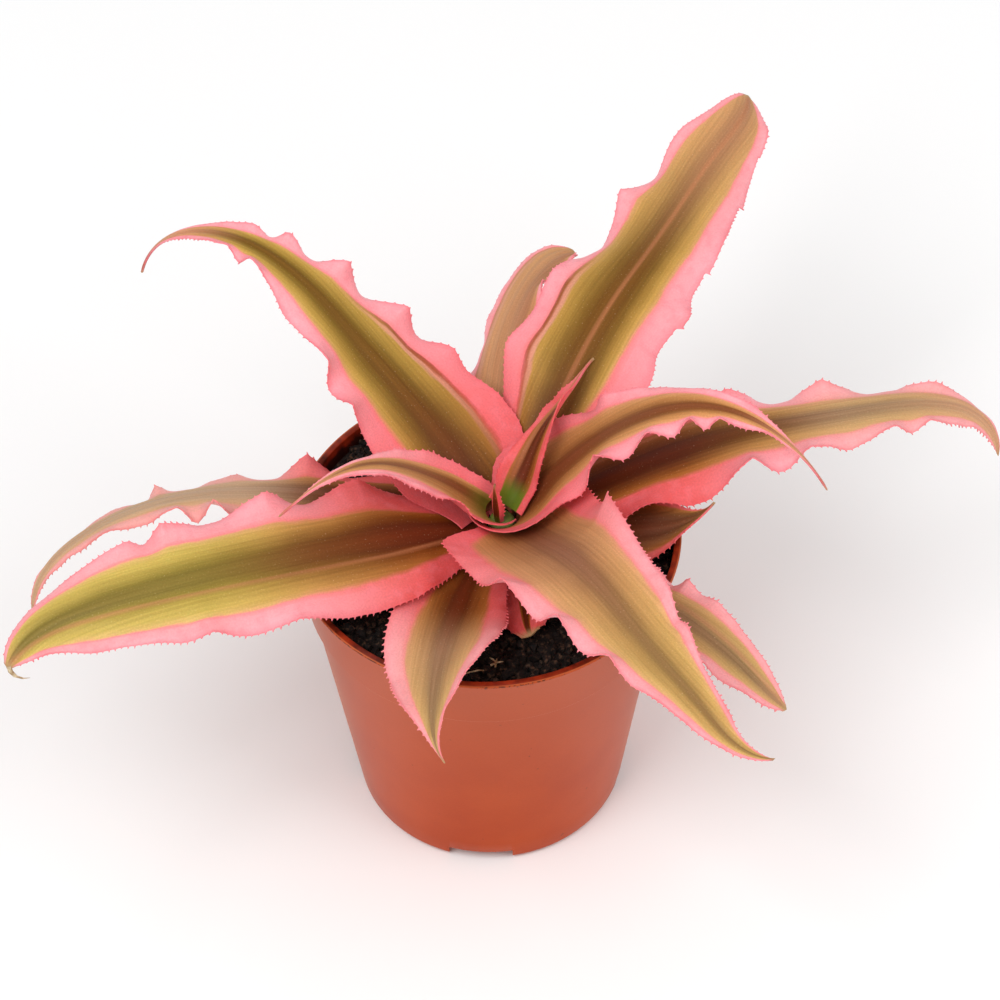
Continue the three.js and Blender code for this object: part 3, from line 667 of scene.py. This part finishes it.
def along(values, share):
    """A smooth curve through values spaced evenly along the leaf, read at shares of its length."""
    values = np.asarray(values, float)
    slopes = np.gradient(values)
    last = len(values) - 1
    place = np.clip(share * last, 0, last - 1e-9)
    i = place.astype(int)
    t = place - i
    return (
        values[i] * (2 * t**3 - 3 * t**2 + 1) + slopes[i] * (t**3 - 2 * t**2 + t)
        + values[i + 1] * (3 * t**2 - 2 * t**3) + slopes[i + 1] * (t**3 - t**2)
    )


def wave_at(crests, share):
    """The height of a margin's waves, which have narrower crests than troughs."""
    places, heights = np.array(list(crests)), np.array(list(crests.values()))
    i = np.clip(np.searchsorted(places, share) - 1, 0, len(places) - 2)
    phase = math.pi * (share - places[i]) / (places[i + 1] - places[i])
    crease = 1 - 2 * np.abs(np.sin(phase))
    wave = np.cos(2 * phase) + wave_sharpness * (crease - np.cos(2 * phase))
    return np.interp(share, places, heights) * wave


def half_width(leaf, share):
    """Half the blade's width at shares of its length."""
    rise = np.clip(share / leaf["widest"], 0, 1)
    fall = np.clip((share - leaf["widest"]) / (1 - leaf["widest"]), 0, 1)
    profile = np.where(
        share < leaf["widest"],
        leaf["base"] + (1 - leaf["base"]) * rise * rise * (3 - 2 * rise),
        (1 - fall) ** leaf["taper"] * (1 + leaf["taper"] * fall),
    )
    return leaf["width"] / 2 * profile


def midrib(leaf, share):
    """The midrib's points, with the blade's own side and up directions at each."""
    level = levels[leaf["level"]]
    grown = np.maximum(share, 0)
    hook = leaf["hook"] * np.clip((grown - hook_share) / (1 - hook_share), 0, 1) ** 2
    heading = np.radians(leaf["heading"] + leaf["swing"] * grown + hook)
    slope = np.radians(along((level["pitch"],) + leaf["pitch"], grown))
    roll = np.radians(along(leaf["roll"], grown))[:, None]
    ahead = np.stack([np.cos(heading) * np.cos(slope), np.sin(heading) * np.cos(slope), np.sin(slope)], 1)
    level_side = np.stack([-np.sin(heading), np.cos(heading), 0 * heading], 1)
    above = np.cross(ahead, level_side)
    steps = (ahead[1:] + ahead[:-1]) / 2 * leaf["length"] * (share[1] - share[0])
    start = np.array([
        stem_place.x / mm + level["radius"] * math.cos(heading[0]),
        stem_place.y / mm + level["radius"] * math.sin(heading[0]),
        level["height"],
    ]) - ahead[0] * level["root"]
    points = np.concatenate([[start], start + np.cumsum(steps, axis=0)])
    side = level_side * np.cos(roll) + above * np.sin(roll)
    up = above * np.cos(roll) - level_side * np.sin(roll)
    return points, side, up


def spread_out(leaf, share, across):
    """The points of the blade's middle layer, for shares of the length and places across it."""
    level = levels[leaf["level"]]
    points, side, up = midrib(leaf, share)
    share, half = share[:, None], half_width(leaf, share)[:, None]
    out = np.maximum(share, 0) * leaf["length"]
    calm = np.clip(share / calm_share, 0, 1) ** 2 * np.minimum(1, half / (leaf["width"] / 4))
    left_wave, right_wave = (wave_at(leaf[margin], share) for margin in ("left", "right"))
    wave = calm * np.where(across > 0, left_wave, right_wave)
    begin = math.radians(level["pitch"])
    outward = level["radius"] + out * math.cos(begin)
    wrap = 1 - rising(out, 0, wrap_length)
    fade = np.clip(1 - out / clasp_length, 0, 1) ** clasp_fade
    clasp = (np.hypot(outward, half * across) - outward) * math.sin(begin) * fade
    right_sheath, left_sheath = leaf.get("sheath", (0, 0))
    sheath = np.where(across > 0, left_sheath, right_sheath) * across * wrap**2
    sideways = half * across * (1 + leaf["lean"] * wave / lean_reach * across**2) + sheath
    upward = leaf["channel"] * half * across**2 + wave * np.abs(across) ** wave_rise + clasp
    flat = points[:, None] + side[:, None] * sideways[..., None] + up[:, None] * upward[..., None]
    if not level["wraps"]:
        return flat, up

    # A wrapped base lies on circles round the stem, and opens a little as it goes round.
    axis = np.array([stem_place.x, stem_place.y]) / mm
    radial = points[:, :2] - axis
    distance = np.hypot(*radial.T)[:, None]
    turn = sideways / distance
    opening = leaf.get("spread", 0) * np.abs(turn)
    bearing = np.arctan2(radial[:, 1], radial[:, 0])[:, None] + turn
    wrapped = np.stack([
        axis[0] + (distance + opening) * np.cos(bearing),
        axis[1] + (distance + opening) * np.sin(bearing),
        points[:, None, 2] + flare * opening,
    ], 2)
    return flat + wrap[..., None] * (wrapped - flat), up


def unit(vectors):
    """The vectors at a length of one."""
    return vectors / np.maximum(np.linalg.norm(vectors, axis=-1, keepdims=True), 1e-9)


def blade(leaf, share, across, random):
    """The blade's points with the ripples, notches and teeth of its margins."""
    points, up = spread_out(leaf, share, across)
    half = half_width(leaf, share)
    narrow = np.clip(half / plain_width, 0, 1) * np.clip(share / plain_share, 0, 1)
    ridges = ridge_height * np.cos(ridge_count * math.pi * across) * narrow[:, None]
    points += up[:, None] * ridges[..., None]
    tooth_points = len(tooth_out)
    phase = np.arange(len(share)) % tooth_points
    seed = random.uniform(0, 100)
    for margin, inner in ((0, 3), (-1, -4)):  # the right and left margins' rows, and rows inside them
        near = np.abs(across) ** 4 * (across * across[0, margin] > 0)
        ripple = np.array([
            noise.noise((s * leaf["length"] / ripple_length, seed + margin, 0)) for s in share
        ]) * ripple_height * 2 * narrow
        points += up[:, None] * (near * ripple[:, None])[..., None]
        outwards = unit(points[:, margin] - points[:, inner])
        if margin == 0 and "notches" in leaf:
            notches = np.array(leaf["notches"])
            i = np.clip(np.searchsorted(notches, share) - 1, 0, len(notches) - 2)
            since = np.clip((share - notches[i]) / (notches[i + 1] - notches[i]), 0, 1)
            depth = notch_depth * (0.5 - since) * (share > notches[0]) * (share < notches[-1])
            points += outwards[:, None] * (near * depth[:, None])[..., None]
        forward = unit(np.gradient(points[:, margin], axis=0))
        size = random.uniform(*tooth_sizes, len(share) // tooth_points + 1) * leaf.get("teeth", 1)
        size = np.repeat(size, tooth_points)[:len(share)] * narrow
        points[:, margin] += outwards * (np.array(tooth_out)[phase] * size)[:, None]
        points[:, margin] += forward * (np.array(tooth_ahead)[phase] * narrow)[:, None]
    return points


def risen(leaf, name, share):
    """How far a tint of the tip has risen along the leaf."""
    strength, start, end = leaf.get(name, (0, 0, 1))
    return strength * rising(share, start, end)[:, None]


def fading(leaf, name, share):
    """How much a tint of the base is left along the leaf."""
    strength, start, end = leaf.get(name, usual_coral_and_shade if name == "coral_and_shade" else (0, 0, 1))
    return strength * (1 - rising(share, start, end))[:, None]


def colouring(leaf, share, across):
    """What the leaf's skin is coloured by, as a value for each point."""
    tipwards = rising(share, 0.1, 0.9)
    right = -(leaf["right_pink"][0] * (1 - tipwards) + leaf["right_pink"][1] * tipwards)
    left = leaf["left_pink"][0] * (1 - tipwards) + leaf["left_pink"][1] * tipwards
    low, high = np.outer(leaf["core"], 1 - core_narrowing * share)

    # 0 in the middle of the core, 0.25 at its sides, 0.6 where the pink begins and 1 at the margins.
    bands = (1, 0.6, 0.25, 0, 0.25, 0.6, 1)
    band = np.stack([
        np.interp(across[i], [-1, right[i], low[i], (low[i] + high[i]) / 2, high[i], left[i], 1], bands)
        for i in range(len(share))
    ])
    half = half_width(leaf, share)[:, None]
    side, streak_end = leaf.get("streak", (0, 0))
    streak = (np.sign(across) == side) * (1 - rising(share, streak_end - 0.1, streak_end + 0.05))[:, None]
    by_margin = rising(np.abs(across), 0.4, 0.9)  # where the scales are half as thick
    values = {
        "band": band,
        "from_margin": (1 - np.abs(across)) * half,
        "from_line": np.abs(across - leaf.get("line", no_line)) * half,
        "streak": streak,
        "copper": leaf["copper"],
        # The maroon and coral tints of the base fade along the leaf; both are partly painted shade.
        "maroon_and_shade": fading(leaf, "maroon_and_shade", share),
        "fresh": fading(leaf, "fresh", share),
        "coral_and_shade": fading(leaf, "coral_and_shade", share),
        "green": risen(leaf, "green", share),
        "blush": risen(leaf, "blush", share),
        "scurf": risen(leaf, "scurf", share) * (1 - 0.5 * by_margin),
        "dry": rising(share, 1 - dried_length / leaf["length"], 1)[:, None],
    }
    return {name: value + 0 * across for name, value in values.items()}


def make_leaf(name, leaf, random):
    """A leaf as a fine grid that is bent into its blade and thickened, with its colouring on it."""
    root_share = levels[leaf["level"]]["root"] / leaf["length"]
    stations = 4 * round(leaf["length"] * (1 + root_share) / tooth_spacing)
    bpy.ops.mesh.primitive_grid_add(x_subdivisions=stations, y_subdivisions=leaf_rows, size=2)
    piece = bpy.context.object
    piece.name = piece.data.name = name + "_blade"
    mesh = piece.data
    grid = np.zeros(len(mesh.vertices) * 3)
    mesh.vertices.foreach_get("co", grid)
    grid = grid.reshape(-1, 3)
    station = np.rint((grid[:, 0] + 1) / 2 * stations).astype(int)
    row = np.rint((grid[:, 1] + 1) / 2 * leaf_rows).astype(int)

    share = np.linspace(-root_share, 1, stations + 1)
    rows = np.linspace(-1, 1, leaf_rows + 1)
    rows = (1 + row_crowding) * rows - row_crowding * rows**3
    across = np.broadcast_to(rows, (stations + 1, leaf_rows + 1))
    points = blade(leaf, share, across, random) * mm
    mesh.vertices.foreach_set("co", points[station, row].ravel())
    for value_name, values in colouring(leaf, share, across).items():
        attribute = mesh.attributes.new(value_name, "FLOAT", "POINT")
        attribute.data.foreach_set("value", values[station, row].astype(np.float32))

    # The skin's fine pattern keeps its real size, and starts at another place on each leaf.
    corners = np.zeros(len(mesh.loops), int)
    mesh.loops.foreach_get("vertex_index", corners)
    half = half_width(leaf, share)[:, None]
    lie = np.stack([(share[:, None] + 0 * across) * leaf["length"], half * across], 2)
    lie = lie / pattern_side + random.uniform(0, 1, 2)
    mesh.uv_layers[0].data.foreach_set("uv", lie[station, row][corners].ravel())

    # The blade is thickest at its rib. Its grid has double points where it ends in a tip.
    thickness = piece.vertex_groups.new(name="thickness")
    rib_share = 1 - (1 - margin_share) * np.abs(across) ** 2
    for vertex, share_here in enumerate(rib_share[station, row]):
        thickness.add([vertex], float(share_here), "REPLACE")
    bpy.ops.object.mode_set(mode="EDIT")
    bpy.ops.mesh.select_all(action="SELECT")
    bpy.ops.mesh.remove_doubles(threshold=0.001 * mm)
    bpy.ops.object.mode_set(mode="OBJECT")
    apply_modifier(
        piece, "SOLIDIFY", thickness=rib_thickness * mm, offset=0, vertex_group="thickness",
        thickness_vertex_group=0, material_offset=1,
    )
    piece.vertex_groups.clear()
    return piece


# Leaf skin is alive and waxy: a soft sheen, and colours in bands that run the whole length, with
# fine veins and streaks along them.
leaf_skin, shader = new_material("banded waxy leaf skin")
streak_length = 40
streak_width = 0.8
drift_length = 14
mottle_length = 3.5
speck_length = 0.6
scale_length = 0.7

# The values that each leaf's mesh carries, as colouring gives them.
value = {
    name: add_node(leaf_skin, "Attribute", attribute_name=name).outputs["Fac"]
    for name in (
        "band", "from_margin", "from_line", "streak", "copper", "maroon_and_shade", "fresh", "coral_and_shade", "green",
        "blush", "scurf", "dry",
    )
}
lie = add_node(leaf_skin, "UVMap", uv_map="UVMap")
stretched = add_node(
    leaf_skin, "Mapping",
    {"Vector": lie, "Scale": (pattern_side / streak_length, pattern_side / streak_width, 1)},
)
streaks = add_node(leaf_skin, "TexNoise", {"Vector": stretched, "Scale": 1, "Detail": 3})
drift = add_node(leaf_skin, "TexNoise", {"Vector": lie, "Scale": pattern_side / drift_length, "Detail": 2})
specks = add_node(leaf_skin, "TexNoise", {"Vector": lie, "Scale": pattern_side / speck_length, "Detail": 2})

drift_shift = add_node(leaf_skin, "MapRange", {"Value": drift, "To Min": -0.05, "To Max": 0.05})
streak_shift = add_node(leaf_skin, "MapRange", {"Value": streaks, "To Min": -0.02, "To Max": 0.02})
shift = add_node(leaf_skin, "Math", {0: drift_shift, 1: streak_shift}, operation="ADD")
band = add_node(leaf_skin, "Math", {0: value["band"], 1: shift}, operation="ADD")

# The colours from the middle of a leaf, at 0, to its margins, at 1. Gold is the usual one, and each
# of the others comes over it as far as the leaf's value for it says.
pinks = [(0.63, "#F68C8C"), (0.7, "#FDA0A6"), (0.9, "#FEA6AE"), (1, "#FC96A0")]
gold = [
    (0, "#7A501C"), (0.13, "#714A16"), (0.26, "#7E5C20"), (0.4, "#A47E36"), (0.52, "#C09648"),
    (0.59, "#CE9C5E"), *pinks,
]
over_gold = {
    "streak": [
        (0, "#7A501C"), (0.13, "#714A16"), (0.26, "#7E5C20"), (0.38, "#A07C34"), (0.49, "#BA9042"),
        (0.52, "#D8947A"), (0.55, "#D88E78"), (0.575, "#8C4E1E"), (0.61, "#7C4218"), *pinks,
    ],
    "copper": [
        (0, "#84482A"), (0.13, "#824824"), (0.22, "#8C542A"), (0.35, "#B87A46"), (0.48, "#CE8E58"),
        (0.58, "#DC966A"), *pinks,
    ],
    "green": [
        (0, "#7E6E1C"), (0.13, "#786A16"), (0.24, "#8A7A20"), (0.36, "#B09A3C"), (0.5, "#CAB252"),
        (0.59, "#DCB86C"), *pinks,
    ],
    # Dark maroon over the base: the leaf's own dark red, and painted shade under the leaves above.
    "maroon_and_shade": [
        (0, "#6A2A12"), (0.2, "#5C240E"), (0.4, "#7C3E12"), (0.54, "#A05A24"), (0.62, "#D85A50"),
        (0.8, "#E05652"), (1, "#D23E34"),
    ],
}
skin = add_node(leaf_skin, "ValToRGB", {"Fac": band}, gold)
for tint, stops in over_gold.items():
    ramp = add_node(leaf_skin, "ValToRGB", {"Fac": band}, stops)
    skin = add_node(leaf_skin, "MixRGB", {"Fac": value[tint], "Color1": skin, "Color2": ramp})

# Where the layers further down lie: on the golden or green middle, off it on the pink margins, along
# the pale line, in mottles, scales, or specks of wax that are also painted highlights, or by the edge.
on_middle = add_node(leaf_skin, "MapRange", {"Value": band, "From Min": 0.63, "From Max": 0.55})
off_middle = add_node(leaf_skin, "Math", {0: 1, 1: on_middle}, operation="SUBTRACT")
on_line = add_node(
    leaf_skin, "MapRange", {"Value": value["from_line"], "From Min": 1.1, "From Max": 0.3, "To Max": 0.5}
)
streak_light = add_node(
    leaf_skin, "MapRange",
    {"Value": streaks, "From Min": 0.3, "From Max": 0.7, "To Min": 0.87, "To Max": 1.08},
)
mottles = add_node(
    leaf_skin, "TexNoise", {"Vector": lie, "Scale": pattern_side / mottle_length, "Detail": 5}
)
on_mottles = add_node(
    leaf_skin, "MapRange", {"Value": mottles, "From Min": 0.45, "From Max": 0.7, "To Max": 0.35}
)
on_scales = add_node(
    leaf_skin, "MapRange",
    {"Value": streaks, "From Min": 0.3, "From Max": 0.7, "To Min": 0.7, "To Max": 1.05},
)
speck_light = add_node(
    leaf_skin, "MapRange",
    {"Value": specks, "From Min": 0.3, "From Max": 0.7, "To Min": 0.92, "To Max": 1.07},
)
# Pale specks on the middle: wax on the skin, and painted highlights of its sheen.
on_wax_and_highlight = add_node(
    leaf_skin, "MapRange", {"Value": specks, "From Min": 0.66, "From Max": 0.76, "To Max": 0.22}
)
on_edge = add_node(
    leaf_skin, "MapRange", {"Value": value["from_margin"], "From Min": 0.6, "From Max": 0, "To Max": 0.35}
)

# Each layer lies over those before it: how much of it there is, where it lies, and its colour, or
# else the light and dark that it gives to what is under it.
layers = (
    (value["blush"], on_middle, "#DA9670"),
    (1, on_line, "#C07850"),
    (1, on_middle, streak_light),
    # coral on the pink near the base: the leaf's own coral, and painted shade
    (value["coral_and_shade"], off_middle, "#EE6468"),
    (on_mottles, off_middle, "#F0808A"),
    (value["scurf"], on_scales, "#C8A888"),
    (1, 1, speck_light),
    # pale specks: wax, and painted highlights
    (on_wax_and_highlight, on_middle, "#E2CDB0"),
    (value["fresh"], on_middle, "#5A761C"),
    (1, on_edge, "#E8606A"),
    (1, value["dry"], "#B89468"),
)
for amount, place, look in layers:
    strength = add_node(leaf_skin, "Math", {0: amount, 1: place}, operation="MULTIPLY")
    is_colour = isinstance(look, str)
    skin = add_node(
        leaf_skin, "MixRGB",
        {"Fac": strength, "Color1": skin, "Color2": linear(look) if is_colour else look},
        blend_type="MIX" if is_colour else "MULTIPLY",
    )

veins = add_node(leaf_skin, "Bump", {"Height": streaks, "Strength": 0.3, "Distance": 0.12 * mm})
set_inputs(shader, {
    "Base Color": skin, "Normal": veins, "Roughness": 0.48, "IOR": 1.4, "Specular IOR Level": 0.2,
    "Subsurface Weight": 0.1, "Subsurface Radius": (2 * mm, 0.8 * mm, 0.6 * mm), "Subsurface Scale": 1,
})

# The underside has a patchy coat of fine grey scales, which dulls its bands and leaves no shine.
underside, shader = new_material("scurfy leaf underside")
under_band = add_node(underside, "Attribute", attribute_name="band").outputs["Fac"]
under_colour = add_node(underside, "ValToRGB", {"Fac": under_band}, [
    (0, "#9C865C"), (0.5, "#BC9C74"), (0.66, "#E2A294"), (1, "#F0928E"),
])
under_lie = add_node(underside, "UVMap", uv_map="UVMap")
scales = add_node(
    underside, "TexNoise", {"Vector": under_lie, "Scale": pattern_side / scale_length, "Detail": 3}
)
scale_cover = add_node(
    underside, "MapRange",
    {"Value": scales, "From Min": 0.35, "From Max": 0.65, "To Min": 0.1, "To Max": 0.6},
)
scaled = add_node(
    underside, "MixRGB", {"Fac": scale_cover, "Color1": under_colour, "Color2": linear("#D2C6B0")}
)
set_inputs(shader, {"Base Color": scaled, "Roughness": 0.7})

# An old lower leaf has rotted off at the front, and only its torn base is left by the stem.
torn_leaf = dict(
    level=0, heading=285, swing=-14, hook=30, length=40, width=16,
    pitch=(3, 8, 4, -10), roll=(0, 4, 10, 14), channel=0.1,
    base=0.3, widest=0.7, taper=0.6, lean=0,
    left={0.3: 0.6, 0.62: 2.6, 0.82: 1.6}, right={0.4: 0.5, 0.72: 2, 0.95: 1},
    right_pink=(0.3, 0.15), left_pink=(0.3, 0.15), core=(-0.1, 0.1), copper=0.7,
    # Its dark red base tints run along all of it: its own colour, and painted shade.
    maroon_and_shade=(1, 0.9, 1.5), coral_and_shade=(0.5, 0.8, 1.4),
)

leaf_random = np.random.default_rng(11)
for name, leaf in [*leaves.items(), ("torn_leaf_base", torn_leaf)]:
    piece = make_leaf(name, leaf, leaf_random)
    paint(piece, leaf_skin, underside)
    smooth(piece, 50)
    if name in leaves:
        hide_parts(name)
    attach(piece, "root")

# ---------------------------------------------------------------- dried leaf tip
# The end of the broad left leaf, which has died back. It has dried to a thread as it shrank, and
# curls under, still grown on to the living blade.

dried_path = ((0, 0, 0), (0.5, -0.8, -2), (1.8, -1.2, -3.8), (4, -1.2, -4.9), (6, -0.9, -5.1))  # mm
dried_radii = (0.9, 0.75, 0.6, 0.4, 0.12)  # mm, at the points of the path
thread_sides = 8

# Dead plant tissue: papery, buff to straw-coloured, and without the wax that made it shine.
dried_matter, shader = new_material("dried leaf tip")
dried_places = add_node(dried_matter, "TexCoord").outputs["Object"]
dried_noise = add_node(dried_matter, "TexNoise", {"Vector": dried_places, "Scale": 1 / (1.5 * mm)})
dried_colour = add_node(
    dried_matter, "ValToRGB", {"Fac": dried_noise}, [(0.35, "#9A7A54"), (0.65, "#DCC8A4")]
)
set_inputs(shader, {"Base Color": dried_colour, "Roughness": 0.8})


def drawn_thread(name, path, radii):
    """A thin closed thread along a path, with a radius at each of its points."""
    facing = (path[1] - path[0]).to_track_quat("Z", "Y").to_euler()
    thread = drawn(name, path, radii, thread_sides, facing)
    smooth(thread, 60)
    return thread


broad_points, _, _ = midrib(leaves["leaf_left_broad"], np.linspace(0, 1, 200))
dried_tip = drawn_thread(
    "dried_leaf_tip",
    [Vector(broad_points[-2] + point) * mm for point in dried_path],
    [radius * mm for radius in dried_radii],
)
paint(dried_tip, dried_matter)
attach(dried_tip, "root")

# ---------------------------------------------------------------- dead root bits
# Pale bits of dead root, a small star of three and a longer thread. They lie loose on the peat at
# the front, and each bows up a little in the middle.

root_lift = 1.3 * mm
root_bow = 0.1  # of its length
root_bits = (  # place, bearing in degrees, length and radius, in mm
    ((0.4, -46.4), 20, 4.2, 0.35),
    ((1.8, -47.4), 80, 3.6, 0.3),
    ((2.6, -45.6), 140, 4, 0.3),
    ((-7.2, -49.2), 6, 8, 0.25),
)
for (x, y), bearing, length, radius in root_bits:
    turn = math.radians(bearing)
    ahead = Vector((math.cos(turn), math.sin(turn), 0)) * length * mm
    start = Vector((x * mm, y * mm, peat_level + root_lift))
    top = start + ahead / 2 + Vector((0, 0, root_bow * length * mm))
    root_radii = [radius * mm, radius * mm, radius * mm / 3]
    bit = drawn_thread("dead_root_bit", [start, top, start + ahead], root_radii)
    paint(bit, dried_matter)
    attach(bit, "root")

# ---------------------------------------------------------------- stage
# A pale paper floor, soft light all round, two large soft lights above, and the camera.

bpy.ops.mesh.primitive_plane_add(size=6)
floor = bpy.context.object
floor.name = "floor"
paper, shader = new_material("white paper")
set_inputs(shader, {"Base Color": linear("#FAFAFA"), "Roughness": 0.9})
paint(floor, paper)

world = bpy.data.worlds.new("soft daylight")
world.use_nodes = True
set_inputs(world.node_tree.nodes["Background"], {"Color": (1, 1, 1, 1), "Strength": 0.62})
bpy.context.scene.world = world

target = Vector((0, 0, 90 * mm))  # the middle of the plant and its pot


def soft_light(name, place, size, power):
    """A square light that faces the plant."""
    bpy.ops.object.light_add(type="AREA", location=place)
    light = bpy.context.object
    light.name = name
    light.data.size = size
    light.data.energy = power
    light.rotation_euler = (target - Vector(place)).to_track_quat("-Z", "Y").to_euler()


soft_light("key light", (-0.7, -0.8, 1.7), 1.0, 18)
soft_light("fill light", (1.1, -0.5, 1.3), 1.0, 8)

bpy.ops.object.camera_add()
camera = bpy.context.object
camera_elevation = math.radians(50.93)
camera_distance = 2.028
camera_roll = math.radians(-1.44)
camera.location = target + camera_distance * Vector(
    (0, -math.cos(camera_elevation), math.sin(camera_elevation))
)
facing = (target - camera.location).to_track_quat("-Z", "Y")
camera.rotation_euler = (facing @ Euler((0, 0, camera_roll)).to_quaternion()).to_euler()
camera.data.lens = 236.4
camera.data.sensor_width = 36
camera.data.shift_x = 0.0131
camera.data.shift_y = 0.0783
bpy.context.scene.camera = camera
bpy.context.scene.view_settings.view_transform = "Standard"
